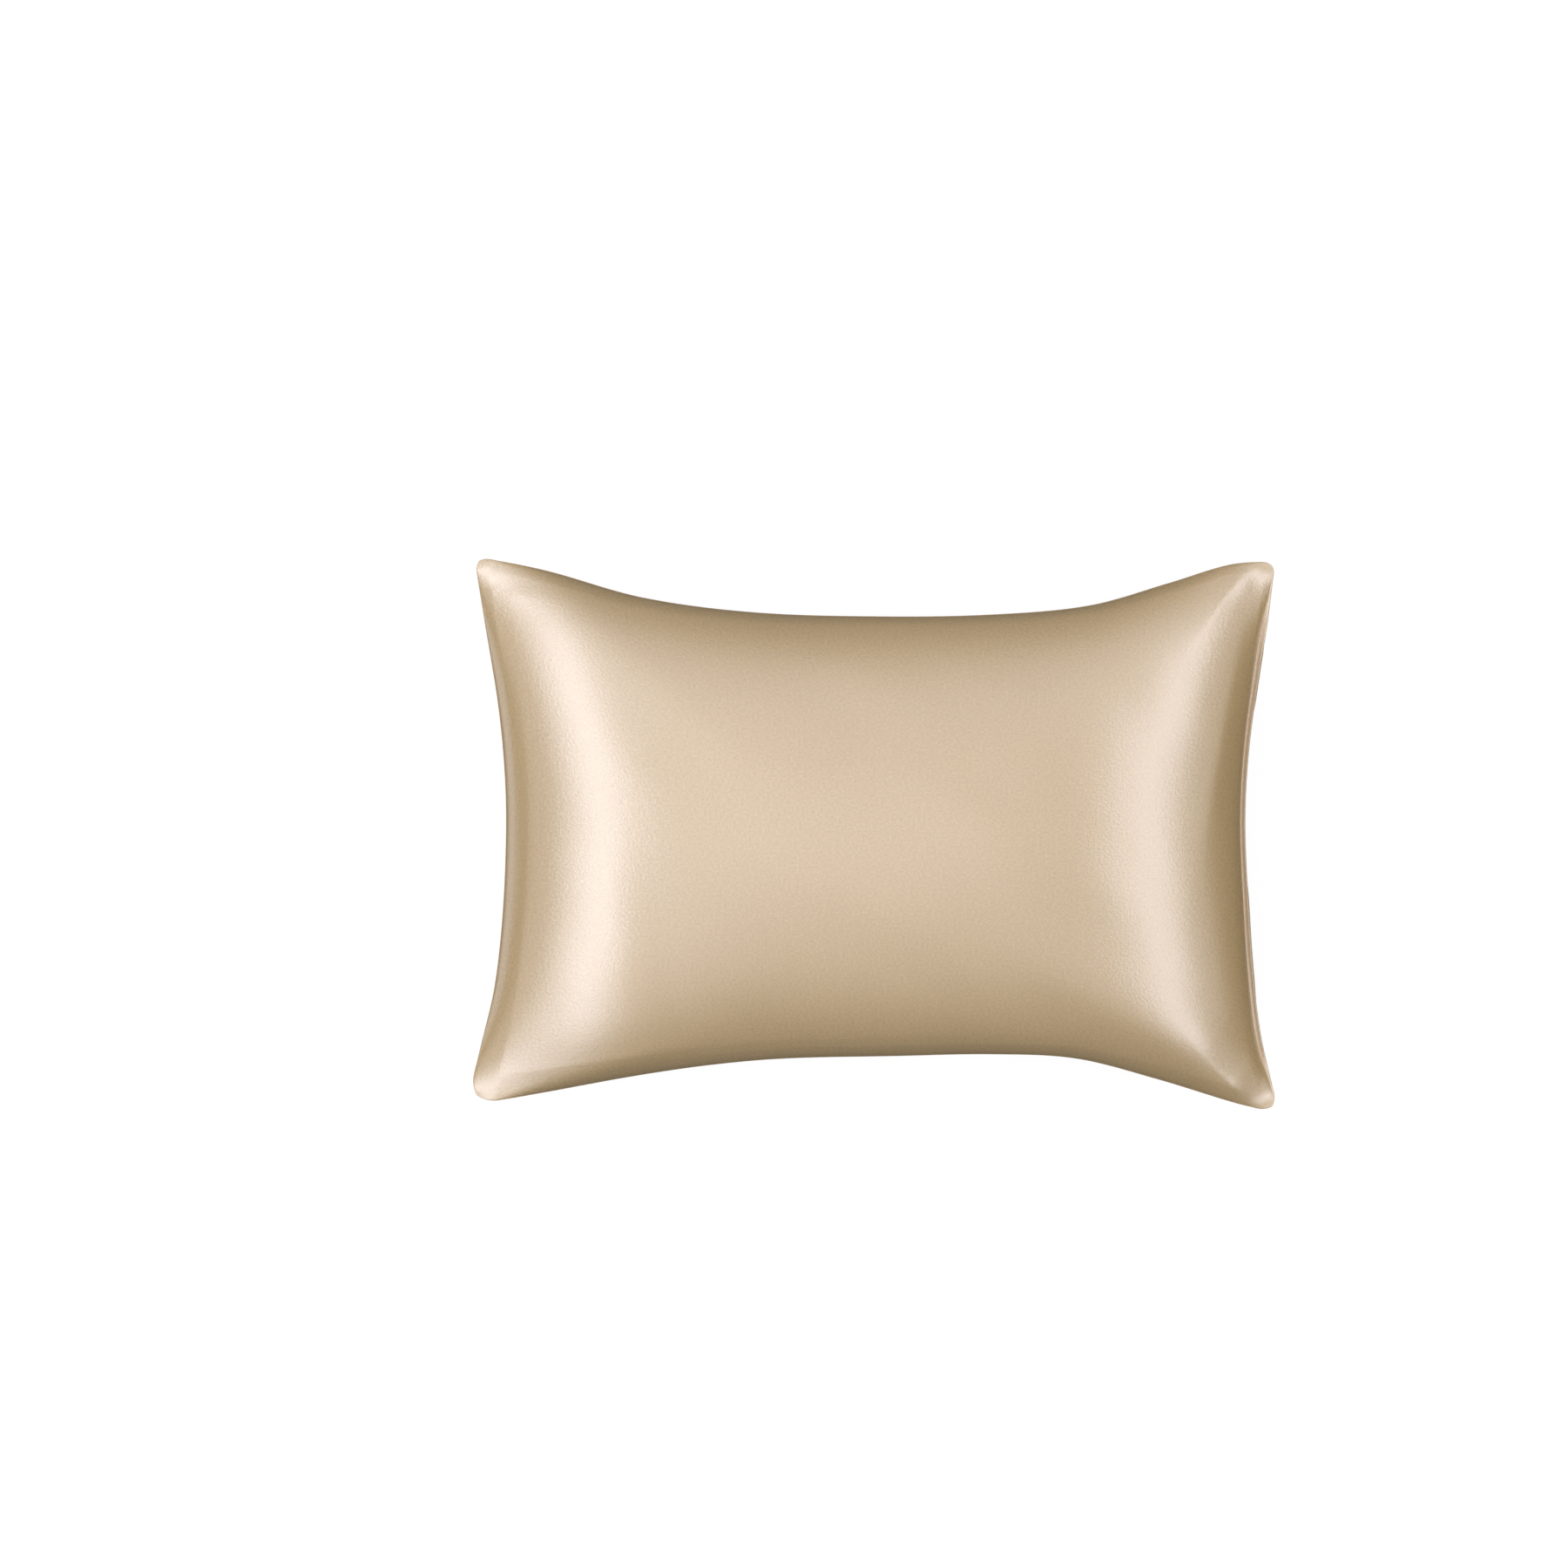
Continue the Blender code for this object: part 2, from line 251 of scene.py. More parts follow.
def flare(u, v):
    """How far the lip's outer edge turns up."""
    out = np.maximum(0.0, (u - body_share(v)) / (1 - body_share(v)))
    return LIP_FLARE * openness(v) * out * out


def half_edge(u, v):
    """Half the thickness of the closed seams, changing to the lip's outer face at the open end."""
    closed = SEAM_THICKNESS / 2
    opened = SLIT_GAP / 2 + LIP_THICKNESS
    end_share = smooth_step((u / body_share(v) - END_BLEND) / (1 - END_BLEND))
    return closed + (opened - closed) * openness(v) * end_share


def front_height(u, v):
    """The crowned front panel."""
    return seam_height(u, v) + half_edge(u, v) + FRONT_CROWN * swell(u, v) + flare(u, v)


def back_height(u, v):
    """The underside, which settles flat on the floor."""
    height = seam_height(u, v) - half_edge(u, v) - BACK_CROWN * swell(u, v)
    settling = (np.clip(height, -FLOOR_BLEND, FLOOR_BLEND) + FLOOR_BLEND) ** 2 / (4 * FLOOR_BLEND)
    return np.where(height > FLOOR_BLEND, height, settling)


def crowded(steps, crowding=CROWDING):
    """Shares from 0 to 1 that crowd towards both ends, where the cloth turns most."""
    even = np.linspace(0, 1, steps + 1)
    return even + crowding * (0.5 - 0.5 * np.cos(np.pi * even) - even)


def body_grid(length_steps, width_steps, crowding):
    """The shares u and v of every point of one panel between the left seam and the foot of the lip."""
    v = crowded(width_steps, crowding)
    u = crowded(length_steps, crowding)[None, :] * body_share(v)[:, None]
    return u, np.repeat(v[:, None], u.shape[1], axis=1)


def cloth_grid():
    """The shares u and v of every point of one panel, the lip's columns last."""
    u, v = body_grid(LENGTH_STEPS, WIDTH_STEPS, CROWDING)
    lip_start = body_share(v[:, :1])
    lip = np.linspace(0, 1, LIP_STEPS + 1)[1:]
    u = np.hstack((u, lip_start + lip[None, :] * (1 - lip_start)))
    return u, np.repeat(v[:, :1], u.shape[1], axis=1)


def panel_faces(index, flip):
    """The four-sided faces between a grid of point numbers."""
    a, b = index[:-1, :-1].ravel(), index[:-1, 1:].ravel()
    c, d = index[1:, 1:].ravel(), index[1:, :-1].ravel()
    quads = np.stack((a, b, c, d), axis=1)
    return quads[:, ::-1] if flip else quads


def used_mesh(name, points, faces):
    """A mesh of those points, in millimetres, that some face uses, and which points they are."""
    used = np.unique(np.concatenate([np.array(face) for face in faces]))
    place = np.full(len(points), -1)
    place[used] = np.arange(len(used))
    mesh = bpy.data.meshes.new(name)
    numbered = [tuple(int(place[k]) for k in face) for face in faces]
    mesh.from_pydata((points[used] / 1000).tolist(), [], numbered)
    return mesh, used, place


def finish_cloth_mesh(mesh, cloth_points):
    """Smooth shading, and the flat cloth's coordinates in metres as a UV map, from one row for each point."""
    corners = np.empty(len(mesh.loops), dtype=np.int32)
    mesh.loops.foreach_get("vertex_index", corners)
    mesh.uv_layers.new(name="cloth").data.foreach_set("uv", cloth_points[corners].ravel().astype(np.float32))
    mesh.shade_smooth()
    return mesh


def settle_moves():
    """How far pressure moves a coarse grid of both panels, in millimetres, by Blender's cloth."""
    u, v = body_grid(SETTLE_LENGTH_STEPS, SETTLE_WIDTH_STEPS, SETTLE_CROWDING)
    at = plan(u, v)
    full = [np.dstack((at, height(u, v))) for height in (front_height, back_height)]
    slack = [grid.copy() for grid in full]
    seam = seam_height(u, v)
    for grid, over in zip(slack, (full[0][..., 2] > seam, full[1][..., 2] > FLOOR_BLEND)):
        grid[..., 2] = np.where(over, seam + (grid[..., 2] - seam) * SETTLE_START, grid[..., 2])
    rim = np.zeros(u.shape, bool)
    rim[[0, -1], :] = rim[:, [0, -1]] = True
    slack[0][rim, 2] = slack[1][rim, 2] = seam[rim]
    front_index = np.arange(u.size).reshape(u.shape)
    back_index = np.where(rim, front_index, front_index + u.size)
    faces = np.vstack((panel_faces(front_index, False), panel_faces(back_index, True)))
    mesh, used, place = used_mesh("settling", np.vstack([grid.reshape(-1, 3) for grid in slack]), faces)
    settling = bpy.data.objects.new("settling", mesh)
    bpy.context.collection.objects.link(settling)
    held = settling.vertex_groups.new(name="held")
    lying = np.nonzero(back_height(u, v).ravel() < LYING_BELOW)[0] + u.size
    held.add([int(k) for k in place[np.concatenate((front_index[rim], lying))] if k >= 0], 1.0, "REPLACE")
    cloth = settling.modifiers.new("cloth", "CLOTH")
    settings = cloth.settings
    settings.quality, settings.mass = CLOTH_QUALITY, CLOTH_MASS
    settings.tension_stiffness, settings.compression_stiffness = CLOTH_TENSION, CLOTH_COMPRESSION
    settings.shear_stiffness, settings.bending_stiffness = CLOTH_SHEAR, CLOTH_BENDING
    settings.use_pressure, settings.uniform_pressure_force = True, SETTLE_PRESSURE
    settings.vertex_group_mass = "held"
    settings.effector_weights.gravity = 0
    cloth.collision_settings.use_collision = False
    cloth.point_cache.frame_start, cloth.point_cache.frame_end = 1, SETTLE_FRAMES
    for step in range(1, SETTLE_FRAMES + 1):
        bpy.context.scene.frame_set(step)
    blown = settling.evaluated_get(bpy.context.evaluated_depsgraph_get()).data
    after = np.empty(len(used) * 3)
    blown.vertices.foreach_get("co", after)
    after = after.reshape(-1, 3) * 1000
    bpy.data.objects.remove(settling)
    bpy.data.meshes.remove(mesh)
    bpy.context.scene.frame_set(1)
    off_corner = np.hypot(1 - np.abs(2 * u / body_share(v) - 1), 1 - np.abs(2 * v - 1))
    corners = smooth_step(off_corner / SETTLE_CORNERS)
    moves = []
    for grid, index in zip(full, (front_index, back_index)):
        move = after[place[index]] - grid
        for _ in range(SETTLE_SMOOTHING):
            move[rim] = 0
            move[1:-1, 1:-1] = (
                2 * move[1:-1, 1:-1] + move[:-2, 1:-1] + move[2:, 1:-1] + move[1:-1, :-2] + move[1:-1, 2:]
            ) / 6
        move *= (SETTLE_SHARE * corners)[..., None]
        reach = np.linalg.norm(move, axis=2, keepdims=True)
        moves.append(move * np.minimum(1, SETTLE_LIMIT / np.maximum(reach, 1e-9)))
    return moves


def cubic_read(values, at):
    """Rows of values read at fractional places by a smooth curve through them."""
    i = np.clip(np.floor(at).astype(int), 0, len(values) - 2)
    f = (at - i).reshape(-1, *[1] * (values.ndim - 1))
    before, start, end, after = (values[np.clip(i + k, 0, len(values) - 1)] for k in (-1, 0, 1, 2))
    bend = 2 * before - 5 * start + 4 * end - after
    return start + 0.5 * f * (end - before + f * (bend + f * (3 * (start - end) + after - before)))


def spread(move):
    """A coarse grid's moves read on the fine grid; the lip's columns stay still."""
    rows, columns = (
        np.interp(crowded(fine), crowded(coarse, SETTLE_CROWDING), np.arange(coarse + 1))
        for fine, coarse in ((WIDTH_STEPS, SETTLE_WIDTH_STEPS), (LENGTH_STEPS, SETTLE_LENGTH_STEPS))
    )
    fine = cubic_read(cubic_read(move, rows).transpose(1, 0, 2), columns).transpose(1, 0, 2)
    return np.hstack((fine, np.zeros((len(fine), LIP_STEPS, 3))))


def pull_ridges(u, v, at):
    """The height of the ridges that the corners pull in the cloth, at points of the plan and their shares."""
    height = np.zeros(at.shape[:-1])
    for corner, off_x, off_y, heading, crest, reach, tall, half_width in PULL_RIDGES:
        tip = np.array(CORNER_TIPS[corner][0]) - MIDDLE + (off_x, off_y)
        way = np.array((math.cos(math.radians(heading)), math.sin(math.radians(heading))))
        along = (at - tip) @ way
        across = (at - tip) @ np.array((-way[1], way[0]))
        rise = smooth_step(along / crest) * smooth_step((reach - along) / (reach - crest))
        width = half_width * (RIDGE_TIP_WIDTH + (1 - RIDGE_TIP_WIDTH) * np.clip(along / crest, 0, 2))
        height += tall * rise / (1 + (across / width) ** 2)
    from_corner = np.minimum(v, 1 - v) * EDGE_WIDTH
    held = 1 - smooth_step((from_corner - RIDGES_HELD) / (RIDGES_GONE - RIDGES_HELD))
    return height * np.maximum(smooth_step((1 - u) * EDGE_LENGTH / RIDGE_END_BLEND), held)


def seam_share(u, v):
    """1 at the seams, falling to 0 where the back panel no longer follows the ridges."""
    inside = np.minimum(np.minimum(u, 1 - u) * EDGE_LENGTH, np.minimum(v, 1 - v) * EDGE_WIDTH)
    return 1 - smooth_step(inside / BACK_FOLLOWS)


def filling_waves(u, v):
    """The slow unevenness of what fills the case, none at the seams."""
    wave = sum(tall * np.sin(2 * np.pi * (a * u + b * v) + phase) for a, b, phase, tall in FILLING_WAVES)
    return wave * swell(u, v)


def puckers(u, v):
    """Small ripples where the closed seams gather the cloth."""
    x, y = u * EDGE_LENGTH, v * EDGE_WIDTH
    ripple = np.zeros(u.shape)
    for run, inward in ((x, y), (x, (1 - v) * EDGE_WIDTH), (y, x)):
        wander = sum(far * np.sin(run / over + phase) for far, over, phase in PUCKER_WANDER)
        near = np.clip(inward / PUCKER_REACH, 0, 1)
        bulge = 6.75 * near * (1 - near) ** 2  # 1 at a third of the reach, 0 at the seam and at the reach
        from_corner = smooth_step((np.minimum(run, run.max() - run) - PUCKERS_START) / PUCKERS_GROW)
        ripple += PUCKER_HEIGHT * from_corner * bulge * np.sin(2 * np.pi * (run / PUCKER_PITCH + wander))
    return ripple


def hem_relief(u, v):
    """How far the folded hem stands proud of the back panel, with a shallow trough along its stitches."""
    inside = (body_share(v) - u) * EDGE_LENGTH
    fold = smooth_step((HEM_WIDTH + HEM_PAST_STITCHES - inside) / HEM_STEP) * smooth_step(inside / HEM_EDGE)
    return HEM_RISE * fold - STITCH_TROUGH * np.exp(-(((inside - HEM_WIDTH) / TROUGH_WIDTH) ** 2))


def drawn_in_plan(u, v):
    """The plan, drawn in a little so that the rounded edge ends on the outline."""
    at = plan(u, v)
    half = np.array((EDGE_LENGTH, EDGE_WIDTH)) / 2
    return at * (half - EDGE_ROUND) / half


def front_surface(u, v, move):
    """The front panel's points in millimetres: its form, its relief and how the cloth settled."""
    at = drawn_in_plan(u, v)
    height = front_height(u, v) + pull_ridges(u, v, at) + filling_waves(u, v) + puckers(u, v)
    return np.dstack((at, height)) + move


def back_surface(u, v, move):
    """The back panel's points in millimetres, none of them under the floor."""
    at = drawn_in_plan(u, v)
    height = back_height(u, v) + pull_ridges(u, v, at) * seam_share(u, v)
    height = height - puckers(u, v) - hem_relief(u, v)
    grid = np.dstack((at, height)) + move
    grid[..., 2] = np.maximum(grid[..., 2], 0.0)
    return grid


def loop_of(grid):
    """The panel's rim, once round: along the bottom, up the open end, back along the top, down the left."""
    return np.concatenate((grid[0, :-1], grid[:-1, -1], grid[-1, :0:-1], grid[:0:-1, 0]))


def hem_shows(v):
    """How far the hem stands out past the lip along the open end."""
    return sum(far * smooth_step(1.5 * (1 - np.abs(v - middle) / half)) for middle, half, far in HEM_SHOWS)


def rim_profile(front_rim, back_rim, opened, hem_out):
    """The turned edges all round, from the front panel to the back one, with the slit at the open end."""
    ahead = np.roll(front_rim, -1, axis=0) - np.roll(front_rim, 1, axis=0)
    outward = np.stack((ahead[:, 1], -ahead[:, 0], np.zeros(len(ahead))), axis=1)
    outward /= np.linalg.norm(outward, axis=1)[:, None]
    up = np.array((0.0, 0.0, 1.0))
    middle = (front_rim + back_rim) / 2
    half = (front_rim - back_rim)[:, 2] / 2
    wall = half - CLOSED_GAP - (SLIT_GAP / 2 + LIP_FLARE / 2 - CLOSED_GAP) * opened
    rounds = EDGE_ROUND * (CLOSED_ROUNDNESS + (1 - CLOSED_ROUNDNESS) * opened)
    lip, hem = [], []
    for out, down in EDGE_SECTION:
        rise = up * (half - wall * down)[:, None]
        lip.append(middle + outward * (rounds * out)[:, None] + rise)
        hem.append(middle + outward * (rounds * out + hem_out)[:, None] - rise)
    pocket_gap = CLOSED_GAP + (SLIT_GAP / 2 - CLOSED_GAP) * opened
    pocket = []
    for depth, side in ((LIP_WIDTH, 1), (SLIT_DEPTH, 1), (SLIT_DEPTH, -1), (LIP_WIDTH, -1)):
        inner = middle - outward * (CLOSED_POCKET + (depth - CLOSED_POCKET) * opened)[:, None]
        inner = inner - up * (LIP_FLARE / 2 * opened)[:, None]
        pocket.append(inner + up * (side * pocket_gap * (opened > 0))[:, None])
    return np.stack(lip + pocket + hem[::-1], axis=1)


def settled_panels():
    """Both panels' points after the cloth has settled, in millimetres, and the shares that they lie at."""
    u, v = cloth_grid()
    front_move, back_move = ((spread(move) for move in settle_moves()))
    return u, v, front_surface(u, v, front_move), back_surface(u, v, back_move)


def cover_mesh(name, u, v, front, back):
    """The closed cover: both panels and the turned edges between them."""
    rows, columns = u.shape
    front_index = np.arange(rows * columns).reshape(rows, columns)
    back_index = front_index + rows * columns
    front_loop, back_loop = loop_of(front_index), loop_of(back_index)
    end = slice(columns - 1, columns - 1 + rows - 1)
    opened = np.zeros(len(front_loop))
    opened[end] = openness(v[:-1, -1])
    hem_out = np.zeros(len(front_loop))
    hem_out[end] = hem_shows(v[:-1, -1])
    rim = rim_profile(loop_of(front), loop_of(back), opened, hem_out)
    rim_index = 2 * rows * columns + np.arange(rim.shape[0] * rim.shape[1]).reshape(rim.shape[:2])
    pocket = len(EDGE_SECTION)  # the pocket's four points fall together where the seam is closed
    for k in range(pocket + 1, pocket + 4):
        rim_index[opened == 0, k] = rim_index[opened == 0, pocket]
    ring = np.hstack((front_loop[:, None], rim_index, back_loop[:, None]))
    ring = np.vstack((ring, ring[:1]))
    faces = [*panel_faces(front_index, False), *panel_faces(back_index, True)]
    for quad in panel_faces(ring.T, True):
        corners = [q for k, q in enumerate(quad) if q != quad[k - 1]]
        if len(set(corners)) > 2:
            faces.append(corners)
    points = np.vstack((front.reshape(-1, 3), back.reshape(-1, 3), rim.reshape(-1, 3)))
    mesh, used, _ = used_mesh(name, points, faces)
    cloth = [
        np.concatenate((share.ravel(), share.ravel(), np.repeat(loop_of(share), rim.shape[1])))[used] * size
        for share, size in ((u, PANEL_LENGTH), (v, PANEL_WIDTH))
    ]
    return finish_cloth_mesh(mesh, np.stack(cloth, axis=1))


CLOTH_U, CLOTH_V, FRONT, BACK = settled_panels()
cover = bpy.data.objects.new("satin_cover", cover_mesh("satin_cover", CLOTH_U, CLOTH_V, FRONT, BACK))
bpy.context.collection.objects.link(cover)


# How much of the weave's relief and of its tone each part makes: floats, grain and the dye's unevenness.
# Tones centre on a half after the shift.
FLOAT_RELIEF, GRAIN_RELIEF = 0.35, 0.65
FLOAT_TONE, GRAIN_TONE, DYE_TONE, TONE_SHIFT = 0.6, 1.9, 0.3, 0.9


def satin_weave_group():
    """The weave of a satin: long warp floats side by side, fine grain, and broad unevenness of the dye."""
    group = bpy.data.node_groups.new("satin_weave", "ShaderNodeTree")
    for label, kind, value in (
        ("Cloth", "NodeSocketVector", None),
        ("Float length", "NodeSocketFloat", 0.004),
        ("Float width", "NodeSocketFloat", 0.0009),
        ("Grain", "NodeSocketFloat", 0.0026),
        ("Tone size", "NodeSocketFloat", 0.16),
    ):
        socket = group.interface.new_socket(label, in_out="INPUT", socket_type=kind)
        if value is not None:
            socket.default_value = value
    for label in ("Height", "Tone"):
        group.interface.new_socket(label, in_out="OUTPUT", socket_type="NodeSocketFloat")
    nodes, links = group.nodes, group.links
    inputs, outputs = nodes.new("NodeGroupInput"), nodes.new("NodeGroupOutput")

    def maths(operation, first, second):
        node = nodes.new("ShaderNodeMath")
        node.operation = operation
        for socket, value in zip(node.inputs, (first, second)):
            if isinstance(value, (int, float)):
                socket.default_value = value
            else:
                links.new(value, socket)
        return node.outputs[0]

    def noise(scale_x, scale_y, detail, roughness):
        pitch = nodes.new("ShaderNodeCombineXYZ")
        for axis, size in zip("XY", (scale_x, scale_y)):
            links.new(maths("DIVIDE", 1.0, inputs.outputs[size]), pitch.inputs[axis])
        scaled = nodes.new("ShaderNodeVectorMath")
        scaled.operation = "MULTIPLY"
        links.new(inputs.outputs["Cloth"], scaled.inputs[0])
        links.new(pitch.outputs[0], scaled.inputs[1])
        texture = nodes.new("ShaderNodeTexNoise")
        texture.noise_dimensions = "2D"
        texture.inputs["Scale"].default_value = 1.0
        texture.inputs["Detail"].default_value = detail
        texture.inputs["Roughness"].default_value = roughness
        links.new(scaled.outputs[0], texture.inputs["Vector"])
        return texture.outputs["Fac"]

    floats = noise("Float length", "Float width", 1.0, 0.5)
    grain = noise("Grain", "Grain", 2.0, 0.6)
    tone = noise("Tone size", "Tone size", 2.0, 0.5)
    height = maths("ADD", maths("MULTIPLY", floats, FLOAT_RELIEF), maths("MULTIPLY", grain, GRAIN_RELIEF))
    links.new(height, outputs.inputs["Height"])
    fine = maths("ADD", maths("MULTIPLY", grain, GRAIN_TONE), maths("MULTIPLY", floats, FLOAT_TONE))
    tones = maths("ADD", fine, maths("MULTIPLY", tone, DYE_TONE))
    links.new(maths("SUBTRACT", tones, TONE_SHIFT), outputs.inputs["Tone"])
    return group


SATIN_WEAVE = satin_weave_group()

# The satin's sheen: how far highlights stretch and which way, how strong they are, their tint, how far the
# weave varies the roughness, and the bump's strength and depth in metres.
SHEEN_STRETCH, SHEEN_TURN, SHEEN_IOR, SHEEN_LEVEL = 0.65, 0.25, 2.2, 1.0
SHEEN_TINT, SHINE_SPREAD = (0.91, 0.91, 1.0), 0.05
BUMP_STRENGTH, BUMP_DISTANCE = 0.8, 0.0003


def satin_material(name, dark, light, shine):
    """Satin: a deep dyed ground under long glossy floats, which spread the highlights across the cloth."""
    material = bpy.data.materials.new(name)
    material.use_nodes = True
    nodes, links = material.node_tree.nodes, material.node_tree.links
    shader = nodes["Principled BSDF"]
    cloth = nodes.new("ShaderNodeUVMap")
    cloth.uv_map = "cloth"
    weave = nodes.new("ShaderNodeGroup")
    weave.node_tree = SATIN_WEAVE
    links.new(cloth.outputs[0], weave.inputs["Cloth"])
    colour = nodes.new("ShaderNodeMix")
    colour.data_type = "RGBA"
    colour.inputs["A"].default_value = (*dark, 1)
    colour.inputs["B"].default_value = (*light, 1)
    links.new(weave.outputs["Tone"], colour.inputs["Factor"])
    links.new(colour.outputs["Result"], shader.inputs["Base Color"])
    gloss = nodes.new("ShaderNodeMapRange")
    gloss.inputs["To Min"].default_value = shine - SHINE_SPREAD
    gloss.inputs["To Max"].default_value = shine + SHINE_SPREAD
    links.new(weave.outputs["Height"], gloss.inputs["Value"])
    links.new(gloss.outputs[0], shader.inputs["Roughness"])
    bump = nodes.new("ShaderNodeBump")
    bump.inputs["Strength"].default_value = BUMP_STRENGTH
    bump.inputs["Distance"].default_value = BUMP_DISTANCE
    links.new(weave.outputs["Height"], bump.inputs["Height"])
    links.new(bump.outputs[0], shader.inputs["Normal"])
    tangent = nodes.new("ShaderNodeTangent")
    tangent.direction_type = "UV_MAP"
    tangent.uv_map = "cloth"
    links.new(tangent.outputs[0], shader.inputs["Tangent"])
    shader.inputs["Anisotropic"].default_value = SHEEN_STRETCH
    shader.inputs["Anisotropic Rotation"].default_value = SHEEN_TURN
    shader.inputs["IOR"].default_value = SHEEN_IOR
    shader.inputs["Specular IOR Level"].default_value = SHEEN_LEVEL
    shader.inputs["Specular Tint"].default_value = (*SHEEN_TINT, 1)
    return material


CASE_DARK, CASE_LIGHT, CASE_SHINE = (0.520, 0.368, 0.182), (0.680, 0.482, 0.242), 0.40
cover.data.materials.append(satin_material("champagne_satin", CASE_DARK, CASE_LIGHT, CASE_SHINE))
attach(cover, "root")
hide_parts("filled_case")

# --------------------------------------------------------------------------------------------------
# The envelope flap. The front panel goes on past the lip, and this strip of it is turned in through the
# open end. It is the same satin, one layer thick, and shows only inside the slit. Its colours are the
# cover's made darker, as painted shade of the slit.
# --------------------------------------------------------------------------------------------------

FLAP_THICKNESS, FLAP_CLEARANCE, FLAP_SETBACK, FLAP_DEPTH, FLAP_ENDS_AT = 1.2, 0.35, 0.8, 27.0, 0.70
FLAP_STEPS, FLAP_WIDTH_STEPS, FLAP_ROUND_STEPS = 10, 150, 5
# The flap's two satin colours are the cover's darkened by about a tenth: painted shade of the slit it sits
# in.
FLAP_SHADED_DARK, FLAP_SHADED_LIGHT, FLAP_SHINE = (0.470, 0.333, 0.165), (0.610, 0.432, 0.218), 0.45


def flap_mesh(name):
    """A thin strip under the slit's upper wall, with a rounded fold at its outer edge."""
    outer = 1 - (FLAP_SETBACK + FLAP_THICKNESS / 2) / EDGE_LENGTH
    depth = FLAP_DEPTH - FLAP_THICKNESS / 2
    shares = outer - np.linspace(0, 1, FLAP_STEPS + 1) * depth / EDGE_LENGTH
    v = 0.5 + FLAP_ENDS_AT * (np.linspace(0, 1, FLAP_WIDTH_STEPS + 1) - 0.5)
    u_grid, v_grid = np.meshgrid(shares, v)
    at = plan(u_grid, v_grid)
    top = seam_height(u_grid, v_grid) + SLIT_GAP / 2 + flare(u_grid, v_grid) - FLAP_CLEARANCE
    upper = np.dstack((at, top))
    lower = np.dstack((at, top - FLAP_THICKNESS))
    outward = at[:, 0] - at[:, 1]
    outward /= np.linalg.norm(outward, axis=1)[:, None]
    turn = np.linspace(0, math.pi, FLAP_ROUND_STEPS + 2)[1:-1]
    radius = FLAP_THICKNESS / 2
    fold = []
    for a in turn:
        out, down = outward * radius * math.sin(a), radius * (1 - math.cos(a))
        fold.append(np.column_stack((at[:, 0] + out, top[:, 0] - down)))
    section = np.concatenate((upper[:, ::-1], np.stack(fold, axis=1), lower), axis=1)
    rows, around = section.shape[:2]
    index = np.arange(rows * around).reshape(rows, around)
    closed = np.hstack((index, index[:, :1]))
    faces = [*panel_faces(closed, False), index[0][::-1], index[-1]]
    mesh, used, _ = used_mesh(name, section.reshape(-1, 3), faces)
    step = np.linalg.norm(np.diff(section, axis=1), axis=2).mean(axis=0)
    run = np.concatenate(((0.0,), np.cumsum(step))) / 1000
    return finish_cloth_mesh(mesh, np.stack((run[used % around], v[used // around] * PANEL_WIDTH), axis=1))


flap = bpy.data.objects.new("flap_cloth", flap_mesh("flap_cloth"))
bpy.context.collection.objects.link(flap)
# The flap's darker satin colours are painted shade of the slit.
flap.data.materials.append(satin_material("flap_satin_shaded", FLAP_SHADED_DARK, FLAP_SHADED_LIGHT, FLAP_SHINE))
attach(flap, "root")
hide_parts("envelope_flap")

# --------------------------------------------------------------------------------------------------
# The hem's stitches. One row of lock stitches in matching thread holds the back panel's folded hem, from
# side seam to side seam. Each is a short rounded length of thread that sinks into the cloth at both ends.
# --------------------------------------------------------------------------------------------------

# In metres. Each stitch is a little longer or shorter than the rest, within these shares.
STITCH_PITCH, STITCH_LENGTH, THREAD_RADIUS = 0.0030, 0.0023, 0.00023
STITCH_SHORTEST, STITCH_LONGEST, STITCH_SEED = 0.92, 1.06, 7
STITCH_MARGIN = 0.02  # share of the hem at each end that the side seams hide
THREAD_DARK, THREAD_LIGHT, THREAD_ROUGHNESS = (0.42, 0.28, 0.15), (0.56, 0.40, 0.24), 0.55
TWIST_SCALE, TWIST_DISTORTION = 900.0, 1.5


def hem_line():
    """Points along the stitches, on the back panel, in metres."""
    from_end = BACK[:, LENGTH_STEPS::-1]
    gone = np.cumsum(np.linalg.norm(np.diff(from_end, axis=1), axis=2), axis=1)
    points = []
    for row, run, v in zip(from_end, gone, CLOTH_V[:, 0]):
        if STITCH_MARGIN < v < 1 - STITCH_MARGIN:
            run = np.concatenate(((0.0,), run))
            points.append([np.interp(HEM_WIDTH, run, row[:, axis]) / 1000 for axis in range(3)])
    return points


